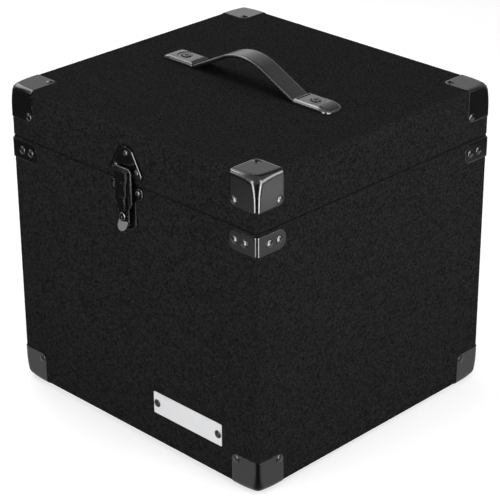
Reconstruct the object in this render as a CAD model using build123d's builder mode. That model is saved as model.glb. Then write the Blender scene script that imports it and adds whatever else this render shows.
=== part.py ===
from build123d import *
import math
import os

# A carpet-covered record carrying case: a plywood tub and a shallow hinged lid, pressed steel
# corners and edge braces, a lever draw latch with a key lock, and a strap handle on the lid.
# Millimetres. X runs along the latch side, Y from the latch side to the hinge side, Z upwards.
# The origin is on the floor under the middle of the case; the latch side faces -Y.

# Case
case_width = 364.0
case_depth = 350.0
case_height = 348.0
lid_height = 58.0
parting_gap = 0.4
carpet_thickness = 3.0
carpet_edge_radius = 4.0
carpet_rim_thickness = 1.5
carpet_rim_radius = 1.8
panel_thickness = 9.0

# Rivets
rivet_head_radius = 4.6
rivet_head_height = 2.0
rivet_crown_radius = 1.4
rivet_shoulder_radius = 0.72
rivet_shoulder_height = 0.66
rivet_shank_radius = 2.0
rivet_tail_radius = 3.0
rivet_tail_height = 1.4
rivet_hole_clearance = 0.1
latch_rivet_head_radius = 3.5
latch_rivet_head_height = 1.8

# Pressed steel corners and edge braces
bracket_thickness = 1.2
bracket_bed = 0.7
corner_leg = 36.2
corner_fold_radius = 5.0
corner_rivet_inset = 30.4
corner_tip_radius = 7.0
brace_leg = 39.0
brace_height = 21.0
brace_fold_radius = 3.6
brace_tip_radius = 9.0
brace_below_parting = 3.2
brace_rivet_inset = 16.6
brace_rivet_spacing = 13.3

# Lid hinges
hinge_length = 60.0
hinge_brace_gap = 3.0
hinge_leaf_height = 26.0
hinge_leaf_thickness = 1.6
hinge_leaf_corner_radius = 4.0
hinge_axis_offset = 4.0
hinge_knuckle_radius = 3.4
hinge_pin_radius = 1.5
hinge_pin_head_radius = 2.4
hinge_pin_head_height = 1.2
hinge_pin_head_edge = 0.6
hinge_knuckle_count = 3
hinge_knuckle_gap = 0.3
hinge_rivet_spacing = 20.0
hinge_rivet_drop = 16.0

# Latch plates
strike_rim_height = 3.0
strike_rim_width = 2.8
strike_floor = 1.4
strike_bottom = 8.0
strike_shoulder = 13.0
strike_half_width = 24.0
strike_top = 40.0
strike_top_half_width = 10.6
strike_top_flat = 36.5
strike_rivet_x = 15.7
strike_rivet_low = 14.6
strike_rivet_high = 32.0
strike_bevel = 0.7
strike_wall = 2.4
strike_corner_radius = 3.0
ledge_height = 13.0
ledge_thickness = 1.7
ledge_reach = 4.6
ledge_half_width = 6.5
base_plate_thickness = 2.0
base_floor = 1.2
base_edge_radius = 0.9
base_top = -1.4
base_wing_half_width = 23.6
base_wing_bottom = -12.0
base_tail_half_width = 13.2
base_tail_top = -18.0
base_tail_bottom = -51.7
base_tail_arc = 7.5
base_wing_radius = 4.0
base_floor_rounding = 0.6
base_rim_width = 2.6
base_rivet_x = 17.0
base_rivet_z = -6.9
tail_rivet_z = -45.0

# Latch movement
pivot_z = -6.0
pivot_out = 4.8
link_length = 16.0
link_lean = 2.5
link_half_width = 3.3
link_thickness = 2.0
link_eye_radius = 2.3
ear_thickness = 1.2
ear_radius = 2.3
side_clearance = 0.3
latch_pin_radius = 1.2
pin_clearance = 0.05
pin_overhang = 0.7

# Latch lever
lever_inner = 5.4
lever_thickness = 1.5
lever_half_width = 12.6
lever_top = 18.1
lever_top_half_width = 9.9
lever_top_chamfer = 3.4
lever_shoulder = -19.8
lever_waist = -27.5
lever_tail_half_width = 8.0
lever_tail_bottom = -41.0
lever_edge_radius = 0.9
boss_height = 2.4
pad_height = 1.2
pad_edge_radius = 0.6
pad_taper = 17.0
pad_half_widths = (8.8, 7.4, 5.8)
pad_tops = (15.2, 2.7, -12.7)
pad_bottoms = (3.5, -11.8, -26.7)
pocket_wall = 1.5
lug_radius = 2.4
claw_half_width = 5.0
claw_thickness = 2.0
claw_tip = 2.6
claw_clearance = 0.3
tab_radius = 6.8
tab_drop = 4.2
tab_tilt = 25.0

# Key lock in the lever
lock_z = -35.0
lock_ring_radius = 5.6
lock_ring_out = 8.8
lock_plug_radius = 4.2
lock_plug_out = 9.2
lock_plug_in = 3.5
keyhole_width = 1.4
keyhole_length = 5.0
keyhole_depth = 2.5
lock_edge_radius = 0.5
cam_hub_radius = 3.2
cam_thickness = 1.4
cam_half_width = 2.0
cam_reach = 5.6
catch_inner = 4.8
catch_post = 6.2
catch_thickness = 1.2
catch_half_height = 3.0
catch_top = 5.0

# Name plate
plate_width = 100.5
plate_height = 25.2
plate_thickness = 0.9
plate_corner_radius = 1.2
plate_side_gap = 50.75
plate_bottom_gap = 36.3
plate_rivet_inset = 5.25

# Strap handle
strap_width = 24.0
strap_thickness = 4.2
strap_edge_radius = 1.4
strap_rise = 28.5
strap_crown_radius = 62.0
strap_crown_angle = 26.0
strap_foot_radius = 10.0
strap_end = 110.0
core_width = 15.0
core_thickness = 1.0
core_end = 106.0
core_clearance = 0.1
cap_mouth = 74.0
cap_end = 121.5
cap_width = 26.5
cap_height = 6.6
cap_slope_start = 107.0
cap_nose_height = 2.0
cap_corner_radius = 7.0
cap_edge_radius = 2.2
cap_clearance = 0.3
cap_recess_start = 81.0
cap_recess_end = 105.5
cap_recess_width = 18.0
cap_recess_radius = 3.5
cap_recess_depth = 1.3
screw_x = 95.0
screw_head_radius = 4.7
screw_head_height = 1.7
screw_head_edge = 0.8
screw_radius = 2.4
screw_hole_clearance = 0.3
screw_slot_width = 1.2
screw_slot_length = 5.4
screw_slot_depth = 1.3
strap_slot_length = 14.0
nut_flange_radius = 9.0
nut_flange_thickness = 1.5
nut_barrel_radius = 3.4
nut_barrel_length = 7.0

# Levels and faces that follow from the sizes above
bracket_proud = bracket_thickness - bracket_bed
tub_bottom = bracket_proud + rivet_head_height
case_top = tub_bottom + case_height
parting = case_top - lid_height
tub_rim = parting - parting_gap / 2
lid_rim = parting + parting_gap / 2
wall_thickness = carpet_thickness + panel_thickness
rivet_hole_radius = rivet_shank_radius + rivet_hole_clearance
half_width = case_width / 2
half_depth = case_depth / 2
low = Align.MIN
mid = Align.CENTER
high = Align.MAX

# The latch face, read as x, height above the parting line, and distance out from the carpet
latch_face = Plane(origin=(0, -half_depth, parting), x_dir=(1, 0, 0), z_dir=(0, -1, 0))
hinge_face = Plane(origin=(0, half_depth, parting), x_dir=(-1, 0, 0), z_dir=(0, 1, 0))
lid_face = Plane.XY.offset(case_top)
plate_centre_x = half_width - plate_side_gap - plate_width / 2
plate_centre_z = tub_bottom + plate_bottom_gap + plate_height / 2
plate_face = Plane(
    origin=(plate_centre_x, -half_depth, plate_centre_z),
    x_dir=(1, 0, 0),
    z_dir=(0, -1, 0),
)

# The latch seen from its right side, read as distance out and height above the parting line
latch_side = Plane(origin=(0, -half_depth, parting), x_dir=(0, -1, 0), z_dir=(-1, 0, 0))

# The handle seen from the latch side, read as x and height above the lid
handle_side = Plane(origin=(0, 0, case_top), x_dir=(1, 0, 0), z_dir=(0, -1, 0))

os.makedirs("parts", exist_ok=True)


def finish(part, name):
    """Label a finished piece and write it to its own file."""
    part.label = name
    export_step(part, f"parts/{name}.step")


def site(face, across, up):
    """A plane on a face of the case, with its z axis pointing outwards at one fixing."""
    return Plane(origin=face.from_local_coords((across, up, 0)), x_dir=face.x_dir, z_dir=face.z_dir)


def make_rivet(head_radius, head_height, seat):
    """A closed-end rivet: domed head above its seat, shank through the wall, set tail inside."""
    with BuildPart() as rivet:
        with BuildSketch(Plane.XZ):
            with BuildLine():
                edge = (head_radius, seat)
                shoulder_height = seat + head_height * rivet_shoulder_height
                crown = (rivet_crown_radius, seat + head_height)
                ThreePointArc(edge, (head_radius * rivet_shoulder_radius, shoulder_height), crown)
                Polyline(
                    crown,
                    (0, seat + head_height),
                    (0, -wall_thickness - rivet_tail_height),
                    (rivet_tail_radius, -wall_thickness - rivet_tail_height),
                    (rivet_tail_radius, -wall_thickness),
                    (rivet_shank_radius, -wall_thickness),
                    (rivet_shank_radius, seat),
                    edge,
                )
            make_face()
        revolve(axis=Axis.Z)
    return rivet.part


def rivet_group(name, rivet, sites):
    """Write identical rivets as one node of separate solids."""
    with BuildPart() as group:
        with Locations(*sites):
            add(rivet)
    finish(group.part, name)


def pierce(sites, radius=rivet_hole_radius):
    """Drill the holes for a set of fixings through the piece being built."""
    with Locations(*sites):
        Cylinder(radius, 4 * wall_thickness, mode=Mode.SUBTRACT)


# Fixing places

def corner_sites(side, depth, top):
    """The two wall rivets of one corner, and the one on the lid or the underside."""
    x = side * half_width
    y = depth * half_depth
    inset = corner_rivet_inset
    z = case_top if top else tub_bottom
    upwards = -1 if top else 1
    wall = [
        Plane(origin=(x, y - depth * inset, z + upwards * inset), z_dir=(side, 0, 0)),
        Plane(origin=(x - side * inset, y, z + upwards * inset), z_dir=(0, depth, 0)),
    ]
    flat = Plane(origin=(x - side * inset, y - depth * inset, z), z_dir=(0, 0, -upwards))
    return wall, flat


def brace_sites(side, depth):
    """The four rivets of one edge brace, two on each leg."""
    z = parting - brace_below_parting - brace_height / 2
    planes = []
    for inset in (brace_rivet_inset, brace_rivet_inset + brace_rivet_spacing):
        on_side = (side * half_width, depth * (half_depth - inset), z)
        on_end = (side * (half_width - inset), depth * half_depth, z)
        planes.append(Plane(origin=on_side, z_dir=(side, 0, 0)))
        planes.append(Plane(origin=on_end, z_dir=(0, depth, 0)))
    return planes


quarters = {
    "front_left": (-1, -1),
    "front_right": (1, -1),
    "back_left": (-1, 1),
    "back_right": (1, 1),
}
tub_corner_sites = []
underside_sites = []
lid_corner_sites = []
edge_brace_sites = []
for side, depth in quarters.values():
    wall_pair, underside = corner_sites(side, depth, top=False)
    tub_corner_sites += wall_pair
    underside_sites.append(underside)
    wall_pair, on_lid = corner_sites(side, depth, top=True)
    lid_corner_sites += wall_pair + [on_lid]
    edge_brace_sites += brace_sites(side, depth)

strike_sites = [
    site(latch_face, 0, strike_rivet_high),
    site(latch_face, -strike_rivet_x, strike_rivet_low),
    site(latch_face, strike_rivet_x, strike_rivet_low),
]
base_wing_sites = [
    site(latch_face, -base_rivet_x, base_rivet_z),
    site(latch_face, base_rivet_x, base_rivet_z),
]
base_tail_site = site(latch_face, 0, tail_rivet_z)
hinge_centre = half_width - brace_leg - hinge_brace_gap - hinge_length / 2
hinge_centres = {"left": -hinge_centre, "right": hinge_centre}
hinge_tub_sites = []
hinge_lid_sites = []
for centre in hinge_centres.values():
    for step in (-1, 0, 1):
        across = -centre + step * hinge_rivet_spacing
        hinge_tub_sites.append(site(hinge_face, across, -hinge_rivet_drop))
        hinge_lid_sites.append(site(hinge_face, across, hinge_rivet_drop))
plate_rivet_x = plate_width / 2 - plate_rivet_inset
plate_sites = [site(plate_face, step * plate_rivet_x, 0) for step in (-1, 1)]
screw_sites = [site(lid_face, step * screw_x, 0) for step in (-1, 1)]

tub_sites = tub_corner_sites + underside_sites + edge_brace_sites + hinge_tub_sites
tub_sites += base_wing_sites + [base_tail_site] + plate_sites
lid_sites = lid_corner_sites + strike_sites + hinge_lid_sites


# Plywood panels

panel_width = case_width - 2 * carpet_thickness
panel_depth = case_depth - 2 * carpet_thickness
inner_width = panel_width - 2 * panel_thickness
inner_depth = panel_depth - 2 * panel_thickness


def make_panels(prefix, flat_name, bottom, top, flat_bottom, sites):
    """Front and back boards hold two sides and a flat board between them, all butt jointed."""
    height = top - bottom
    y_board = (panel_depth - panel_thickness) / 2
    x_board = (panel_width - panel_thickness) / 2
    z_board = (bottom + top) / 2
    z_flat = flat_bottom + panel_thickness / 2
    boards = {
        "front": ((0, -y_board, z_board), (panel_width, panel_thickness, height)),
        "back": ((0, y_board, z_board), (panel_width, panel_thickness, height)),
        "left": ((-x_board, 0, z_board), (panel_thickness, inner_depth, height)),
        "right": ((x_board, 0, z_board), (panel_thickness, inner_depth, height)),
        flat_name: ((0, 0, z_flat), (inner_width, inner_depth, panel_thickness)),
    }
    for name, (centre, size) in boards.items():
        with BuildPart() as board:
            with Locations(centre):
                Box(*size)
            pierce(sites)
            if name == "top":
                pierce(screw_sites, nut_barrel_radius + rivet_hole_clearance)
        finish(board.part, f"{prefix}_{name}_panel")


make_panels(
    "tub",
    "bottom",
    tub_bottom + carpet_thickness,
    tub_rim - carpet_rim_thickness,
    tub_bottom + carpet_thickness,
    tub_sites,
)
make_panels(
    "lid",
    "top",
    lid_rim + carpet_rim_thickness,
    case_top - carpet_thickness,
    case_top - wall_thickness,
    lid_sites,
)


# Outer forms of the pressed corners and edge braces, which the carpet is shaped round

def corner_block(start, size, edge_radius):
    """A cube with the three edges that meet at its lowest corner rounded."""
    with BuildPart() as block:
        with Locations((start, start, start)):
            Box(size, size, size, align=(low, low, low))
        fillet(block.edges().sort_by_distance((start, start, start))[0:3], edge_radius)
    return block.part


def make_corner_form():
    """A three-way corner: the case's corner is at the origin, with the case towards +X +Y +Z."""
    span = corner_leg + bracket_proud
    outside = corner_block(-bracket_proud, span, corner_fold_radius)
    inside = corner_block(bracket_bed, 2 * corner_leg, corner_fold_radius - bracket_thickness)
    with BuildPart() as corner:
        add(outside)
        add(inside, mode=Mode.SUBTRACT)
        for plane in (Plane.XY, Plane.YZ, Plane.ZX):
            with BuildSketch(plane.offset(-bracket_proud)) as outline:
                with Locations((-bracket_proud, -bracket_proud)):
                    Rectangle(span, span, align=(low, low))
                fillet(outline.vertices().sort_by_distance((0, 0, 0))[-1], corner_tip_radius)
            extrude(amount=span, mode=Mode.INTERSECT)
    return corner.part


def make_brace_form():
    """A right-angled brace: the case's edge is the Z axis, with the case towards +X +Y."""
    span = brace_leg + bracket_proud
    with BuildPart() as brace:
        for start, size, radius, mode in (
            (-bracket_proud, span, brace_fold_radius, Mode.ADD),
            (bracket_bed, 2 * span, brace_fold_radius - bracket_thickness, Mode.SUBTRACT),
        ):
            with BuildSketch() as section:
                with Locations((start, start)):
                    Rectangle(size, size, align=(low, low))
                fillet(section.vertices().sort_by_distance((start, start, 0))[0], radius)
            extrude(amount=brace_height, mode=mode)
        for plane in (Plane.XZ, Plane.YZ):
            with BuildSketch(plane) as outline:
                with Locations((-bracket_proud, 0)):
                    Rectangle(span, brace_height, align=(low, low))
                fillet(outline.vertices().group_by(Axis.X)[-1], brace_tip_radius)
            extrude(amount=2 * span, both=True, mode=Mode.INTERSECT)
    return brace.part


def placed(form, side, depth, height, top=False):
    """A form drawn for the front left, mirrored and moved to another corner of the case."""
    if side > 0:
        form = mirror(form, about=Plane.YZ, mode=Mode.PRIVATE)
    if depth > 0:
        form = mirror(form, about=Plane.XZ, mode=Mode.PRIVATE)
    if top:
        form = mirror(form, about=Plane.XY, mode=Mode.PRIVATE)
    return Location((side * half_width, depth * half_depth, height)) * form


corner_form = make_corner_form()
brace_form = make_brace_form()
brace_bottom = parting - brace_below_parting - brace_height
brackets = {}
for quarter, (side, depth) in quarters.items():
    wall_pair, underside = corner_sites(side, depth, top=False)
    tub_form = placed(corner_form, side, depth, tub_bottom)
    brackets[f"tub_corner_{quarter}"] = ("tub", wall_pair + [underside], tub_form)
    wall_pair, on_lid = corner_sites(side, depth, top=True)
    lid_form = placed(corner_form, side, depth, case_top, top=True)
    brackets[f"lid_corner_{quarter}"] = ("lid", wall_pair + [on_lid], lid_form)
    edge_form = placed(brace_form, side, depth, brace_bottom)
    brackets[f"edge_brace_{quarter}"] = ("tub", brace_sites(side, depth), edge_form)


# Carpet covering

def make_carpet(owner, rim, end, sites, screw_holes=False):
    """One glued skin over the boards, folded over their rim and stopping flush with the inside."""
    inwards = 1 if end > rim else -1
    board_rim = rim + inwards * carpet_rim_thickness
    board_end = end - inwards * carpet_thickness
    rim_side = 0 if end > rim else -1
    end_side = -1 - rim_side
    with BuildPart() as carpet:
        with Locations((0, 0, (rim + end) / 2)):
            Box(case_width, case_depth, abs(end - rim))
        fillet(carpet.edges().filter_by(Axis.Z), carpet_edge_radius)
        fillet(carpet.faces().sort_by(Axis.Z)[end_side].edges(), carpet_edge_radius)
        fillet(carpet.faces().sort_by(Axis.Z)[rim_side].edges(), carpet_rim_radius)
        with Locations((0, 0, (board_rim + board_end) / 2)):
            Box(panel_width, panel_depth, abs(board_end - board_rim), mode=Mode.SUBTRACT)
        with Locations((0, 0, rim)):
            Box(inner_width, inner_depth, 4 * carpet_rim_thickness, mode=Mode.SUBTRACT)
        pierce(sites)
        if screw_holes:
            pierce(screw_sites, screw_radius + screw_hole_clearance)
        for holder, _, bracket in brackets.values():
            if holder == owner:
                add(bracket, mode=Mode.SUBTRACT)
    finish(carpet.part, f"{owner}_carpet")


make_carpet("tub", tub_rim, tub_bottom, tub_sites)
make_carpet("lid", lid_rim, case_top, lid_sites, screw_holes=True)


# Pressed steel corners and edge braces, bedded into the carpet

for name, (owner, sites, bracket) in brackets.items():
    with BuildPart() as pierced:
        add(bracket)
        pierce(sites)
    finish(pierced.part, name)

bracket_rivet = make_rivet(rivet_head_radius, rivet_head_height, bracket_proud)
rivet_group("tub_corner_rivets", bracket_rivet, tub_corner_sites)
rivet_group("underside_rivets", bracket_rivet, underside_sites)
rivet_group("lid_corner_rivets", bracket_rivet, lid_corner_sites)
rivet_group("edge_brace_rivets", bracket_rivet, edge_brace_sites)


# Lid hinges

hinge_axis_y = half_depth + hinge_axis_offset
knuckle_length = hinge_length / hinge_knuckle_count


def make_leaf(name, centre, upwards, sites, own_knuckles):
    """A flat leaf rolled into its share of the knuckles round the hinge pin."""
    start = Plane(origin=(centre - hinge_length / 2, hinge_axis_y, parting), z_dir=(1, 0, 0))
    with BuildPart() as leaf:
        with BuildSketch(hinge_face) as outline:
            with Locations((-centre, upwards * hinge_leaf_height / 2)):
                Rectangle(hinge_length, hinge_leaf_height)
            far_corners = outline.vertices().sort_by(Axis.Y, reverse=upwards > 0)[0:2]
            fillet(far_corners, hinge_leaf_corner_radius)
        extrude(amount=hinge_leaf_thickness)
        with Locations(start):
            Cylinder(hinge_knuckle_radius, hinge_length, align=(mid, mid, low))
        for knuckle in range(hinge_knuckle_count):
            if knuckle not in own_knuckles:
                x = centre - hinge_length / 2 + (knuckle + 1 / 2) * knuckle_length
                room = hinge_knuckle_radius + hinge_knuckle_gap
                with Locations((x, hinge_axis_y, parting)):
                    Box(
                        knuckle_length + hinge_knuckle_gap,
                        4 * hinge_axis_offset,
                        2 * room,
                        mode=Mode.SUBTRACT,
                    )
        with Locations(start):
            Cylinder(
                hinge_pin_radius + pin_clearance,
                hinge_length,
                align=(mid, mid, low),
                mode=Mode.SUBTRACT,
            )
        pierce(sites)
    finish(leaf.part, name)


def make_hinge_pin(name, centre):
    """A plain pin with a head at each end, held by the tub's knuckles."""
    with BuildPart() as pin:
        with Locations(Plane(origin=(centre, hinge_axis_y, parting), z_dir=(1, 0, 0))):
            Cylinder(hinge_pin_radius, hinge_length)
        for end in (-1, 1):
            x = centre + end * (hinge_length + hinge_pin_head_height) / 2
            with Locations(Plane(origin=(x, hinge_axis_y, parting), z_dir=(end, 0, 0))):
                Cylinder(hinge_pin_head_radius, hinge_pin_head_height)
        ends = pin.edges().group_by(Axis.X)
        fillet(ends[0] + ends[-1], hinge_pin_head_edge)
    finish(pin.part, name)


for hand, centre in hinge_centres.items():
    make_leaf(f"hinge_{hand}_tub_leaf", centre, -1, hinge_tub_sites, (0, 2))
    make_leaf(f"hinge_{hand}_lid_leaf", centre, 1, hinge_lid_sites, (1,))
    make_hinge_pin(f"hinge_{hand}_pin", centre)

hinge_rivet = make_rivet(rivet_head_radius, rivet_head_height, hinge_leaf_thickness)
rivet_group("hinge_tub_rivets", hinge_rivet, hinge_tub_sites)
rivet_group("hinge_lid_rivets", hinge_rivet, hinge_lid_sites)


# Latch strike on the lid

with BuildPart() as latch_strike:
    with BuildSketch(latch_face) as outline:
        with BuildLine():
            Polyline(
                (-strike_top_half_width, strike_top_flat),
                (-strike_half_width, strike_shoulder),
                (-strike_half_width, strike_bottom),
                (strike_half_width, strike_bottom),
                (strike_half_width, strike_shoulder),
                (strike_top_half_width, strike_top_flat),
            )
            ThreePointArc(
                (-strike_top_half_width, strike_top_flat),
                (0, strike_top),
                (strike_top_half_width, strike_top_flat),
            )
        make_face()
        fillet(outline.vertices(), strike_corner_radius)
    extrude(amount=strike_rim_height)
    strike_front = latch_strike.faces().sort_by(Axis.Y)[0]
    chamfer(strike_front.edges(), strike_bevel, strike_wall, reference=strike_front)
    with BuildSketch(latch_face.offset(strike_floor)):
        add(outline.sketch_local)
        offset(amount=-strike_rim_width, mode=Mode.REPLACE)
    extrude(amount=strike_rim_height, mode=Mode.SUBTRACT)
    with BuildSketch(latch_side):
        with Locations((strike_floor, ledge_height)):
            Rectangle(ledge_reach - strike_floor, ledge_thickness, align=(low, high))
    extrude(amount=ledge_half_width, both=True)
    pierce(strike_sites)
finish(latch_strike.part, "latch_strike")

strike_rivet = make_rivet(latch_rivet_head_radius, latch_rivet_head_height, strike_floor)
rivet_group("strike_rivets", strike_rivet, strike_sites)


# Latch base plate on the tub

link_pivot = (pivot_out, pivot_z)
lean = math.radians(link_lean)
lever_pivot = (pivot_out - link_length * math.sin(lean), pivot_z - link_length * math.cos(lean))
ear_inner = link_half_width + side_clearance
pin_half_length = ear_inner + ear_thickness + pin_overhang


def pin_bore(pivot, radius=latch_pin_radius + pin_clearance):
    """Bore the piece being built across the latch, round one of its two pins."""
    with BuildSketch(latch_side) as bore:
        with Locations(pivot):
            Circle(radius)
    extrude(bore.sketch, amount=base_wing_half_width, both=True, mode=Mode.SUBTRACT)


def cheeks(pivot, radius, root):
    """A pair of rounded cheeks either side of the link, standing between a root and a pivot."""
    for start in (ear_inner, -ear_inner - ear_thickness):
        with BuildSketch(latch_side.offset(start)) as cheek:
            with Locations(pivot):
                Circle(radius)
            with Locations(((root + pivot[0]) / 2, pivot[1])):
                Rectangle(abs(root - pivot[0]), 2 * radius)
        extrude(cheek.sketch, amount=ear_thickness)


with BuildPart() as latch_base_plate:
    with BuildSketch(latch_face) as outline:
        with BuildLine():
            Polyline(
                (-base_tail_half_width, base_tail_bottom + base_tail_arc),
                (-base_tail_half_width, base_tail_top),
                (-base_wing_half_width, base_wing_bottom),
                (-base_wing_half_width, base_top),
                (base_wing_half_width, base_top),
                (base_wing_half_width, base_wing_bottom),
                (base_tail_half_width, base_tail_top),
                (base_tail_half_width, base_tail_bottom + base_tail_arc),
            )
            ThreePointArc(
                (-base_tail_half_width, base_tail_bottom + base_tail_arc),
                (0, base_tail_bottom),
                (base_tail_half_width, base_tail_bottom + base_tail_arc),
            )
        make_face()
        fillet(outline.vertices().group_by(Axis.X)[0], base_wing_radius)
        fillet(outline.vertices().group_by(Axis.X)[-1], base_wing_radius)
    extrude(amount=base_plate_thickness)
    fillet(latch_base_plate.faces().sort_by(Axis.Y)[0].edges(), base_edge_radius)
    with BuildSketch(latch_face.offset(base_floor)) as floor:
        tail_floor = base_tail_half_width - base_rim_width
        floor_height = base_tail_top - base_tail_bottom - base_rim_width
        link_room = base_top - base_rim_width / 2 - base_tail_top
        with Locations((0, base_tail_top)):
            Rectangle(2 * tail_floor, floor_height, align=(mid, high))
        fillet(floor.vertices().group_by(Axis.Y)[0], tail_floor * base_floor_rounding)
        with Locations((0, base_tail_top)):
            Rectangle(2 * (pin_half_length + side_clearance), link_room, align=(mid, low))
    extrude(amount=base_plate_thickness, mode=Mode.SUBTRACT)
    cheeks(link_pivot, ear_radius, base_floor)
    pin_bore(link_pivot)
    with BuildSketch(latch_face.offset(base_floor)):
        with Locations((catch_post, lock_z)):
            Rectangle(catch_thickness, 2 * catch_half_height, align=(low, mid))
    extrude(amount=catch_top - base_floor)
    with BuildSketch(latch_face.offset(catch_top)):
        catch_width = catch_post + catch_thickness - catch_inner
        with Locations((catch_inner, lock_z)):
            Rectangle(catch_width, 2 * catch_half_height, align=(low, mid))
    extrude(amount=-catch_thickness)
    pierce(base_wing_sites + [base_tail_site])
finish(latch_base_plate.part, "latch_base_plate")

wing_rivet = make_rivet(latch_rivet_head_radius, latch_rivet_head_height, base_plate_thickness)
tail_rivet = make_rivet(latch_rivet_head_radius, latch_rivet_head_height, base_floor)
rivet_group("latch_wing_rivets", wing_rivet, base_wing_sites)
rivet_group("latch_tail_rivet", tail_rivet, [base_tail_site])


# Latch pins and link

def make_latch_pin(name, pivot):
    """A plain pin across the latch."""
    with BuildPart() as pin:
        with BuildSketch(latch_side):
            with Locations(pivot):
                Circle(latch_pin_radius)
        extrude(amount=pin_half_length, both=True)
    finish(pin.part, name)


make_latch_pin("latch_base_pin", link_pivot)
make_latch_pin("latch_lever_pin", lever_pivot)

with BuildPart() as latch_link:
    with BuildSketch(latch_side):
        with Locations(link_pivot, lever_pivot):
            Circle(link_eye_radius)
        with BuildLine():
            Line(link_pivot, lever_pivot)
        trace(line_width=link_thickness)
    extrude(amount=link_half_width, both=True)
    pin_bore(link_pivot)
    pin_bore(lever_pivot)
finish(latch_link.part, "latch_link")


# Latch lever

lever_outer = lever_inner + lever_thickness
boss_outer = lever_outer + boss_height
claw_height = ledge_height + claw_clearance
tab_lean = math.radians(tab_tilt)
tab_plane = Plane(
    origin=latch_face.from_local_coords((0, lever_tail_bottom, lever_inner)),
    x_dir=(1, 0, 0),
    z_dir=(0, -math.cos(tab_lean), math.sin(tab_lean)),
)

with BuildPart() as latch_lever:
    with BuildSketch(latch_face.offset(lever_inner)):
        with BuildLine():
            right_side = Polyline(
                (0, lever_top),
                (lever_top_half_width, lever_top),
                (lever_half_width, lever_top - lever_top_chamfer),
                (lever_half_width, lever_shoulder),
                (lever_tail_half_width, lever_waist),
                (lever_tail_half_width, lever_tail_bottom),
                (0, lever_tail_bottom),
            )
            mirror(right_side, about=Plane.YZ)
        make_face()
    extrude(amount=lever_thickness)
    fillet(latch_lever.faces().sort_by(Axis.Y)[0].edges(), lever_edge_radius)
    with BuildSketch(tab_plane):
        with Locations((0, -tab_drop)):
            Circle(tab_radius)
            Rectangle(2 * tab_radius, tab_drop + lever_thickness, align=(mid, low))
    extrude(amount=lever_thickness)
    boss_tops = (pad_tops[0], pad_bottoms[0], pad_bottoms[1])
    for half, top, bottom in zip(pad_half_widths, boss_tops, pad_bottoms):
        with BuildSketch(latch_face.offset(lever_outer)):
            with Locations((0, top)):
                Rectangle(2 * half, top - bottom, align=(mid, high))
        extrude(amount=boss_height)
    for half, top, bottom in zip(pad_half_widths, pad_tops, pad_bottoms):
        with BuildSketch(latch_face.offset(boss_outer)):
            with Locations((0, top)):
                Rectangle(2 * half - 2 * pad_edge_radius, top - bottom, align=(mid, high))
        extrude(amount=pad_height, taper=pad_taper)
    with BuildSketch(latch_face.offset(lever_outer)):
        with Locations((0, lock_z)):
            Circle(lock_ring_radius)
    extrude(amount=lock_ring_out - lever_outer)
    with BuildSketch(latch_face.offset(lever_inner)):
        middle_top = pad_tops[1] - pocket_wall
        middle_height = pad_tops[1] - pad_bottoms[1] - 2 * pocket_wall
        with Locations((0, middle_top)):
            Rectangle(2 * (pad_half_widths[1] - pocket_wall), middle_height, align=(mid, high))
    extrude(amount=boss_outer + pad_height - pocket_wall - lever_inner, mode=Mode.SUBTRACT)
    with BuildSketch(latch_face.offset(lever_inner)):
        link_room = link_eye_radius + side_clearance
        with Locations((0, middle_top)):
            Rectangle(2 * ear_inner, middle_top - lever_pivot[1] + link_room, align=(mid, high))
    extrude(amount=lever_thickness, mode=Mode.SUBTRACT)
    cheeks(lever_pivot, lug_radius, lever_outer)
    pin_bore(lever_pivot)
    with BuildSketch(latch_side):
        with Locations((claw_tip, claw_height)):
            Rectangle(lever_outer - claw_tip, claw_thickness, align=(low, low))
    extrude(amount=claw_half_width, both=True)
    with Locations(site(latch_face, 0, lock_z)):
        Cylinder(lock_plug_radius + pin_clearance, 4 * lock_plug_out, mode=Mode.SUBTRACT)
finish(latch_lever.part, "latch_lever")


# Key lock

with BuildPart() as lock_plug:
    with BuildSketch(latch_face.offset(lock_plug_in)):
        with Locations((0, lock_z)):
            Circle(lock_plug_radius)
    extrude(amount=lock_plug_out - lock_plug_in)
    fillet(lock_plug.edges().sort_by(Axis.Y)[0], lock_edge_radius)
    with BuildSketch(latch_face.offset(lock_plug_out)):
        with Locations((0, lock_z)):
            Rectangle(keyhole_width, keyhole_length)
    extrude(amount=-keyhole_depth, mode=Mode.SUBTRACT)
finish(lock_plug.part, "lock_plug")

with BuildPart() as lock_cam:
    with BuildSketch(latch_face.offset(lock_plug_in)):
        with Locations((0, lock_z)):
            Circle(cam_hub_radius)
            Rectangle(2 * cam_half_width, cam_reach, align=(mid, high))
    extrude(amount=-cam_thickness)
finish(lock_cam.part, "lock_cam")


# Name plate

with BuildPart() as name_plate:
    with BuildSketch(plate_face):
        RectangleRounded(plate_width, plate_height, plate_corner_radius)
    extrude(amount=plate_thickness)
    pierce(plate_sites)
finish(name_plate.part, "name_plate")

plate_rivet = make_rivet(rivet_head_radius, rivet_head_height, plate_thickness)
rivet_group("name_plate_rivets", plate_rivet, plate_sites)


# Strap handle

crown_turn = math.radians(strap_crown_angle)
crown_sine = math.sin(crown_turn)
crown_cosine = math.cos(crown_turn)
foot_height = strap_thickness / 2
crown_centre = foot_height + strap_rise - strap_crown_radius
slope_drop = strap_rise - (strap_crown_radius + strap_foot_radius) * (1 - crown_cosine)
foot_x = (strap_crown_radius + strap_foot_radius) * crown_sine + slope_drop / math.tan(crown_turn)


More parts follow.
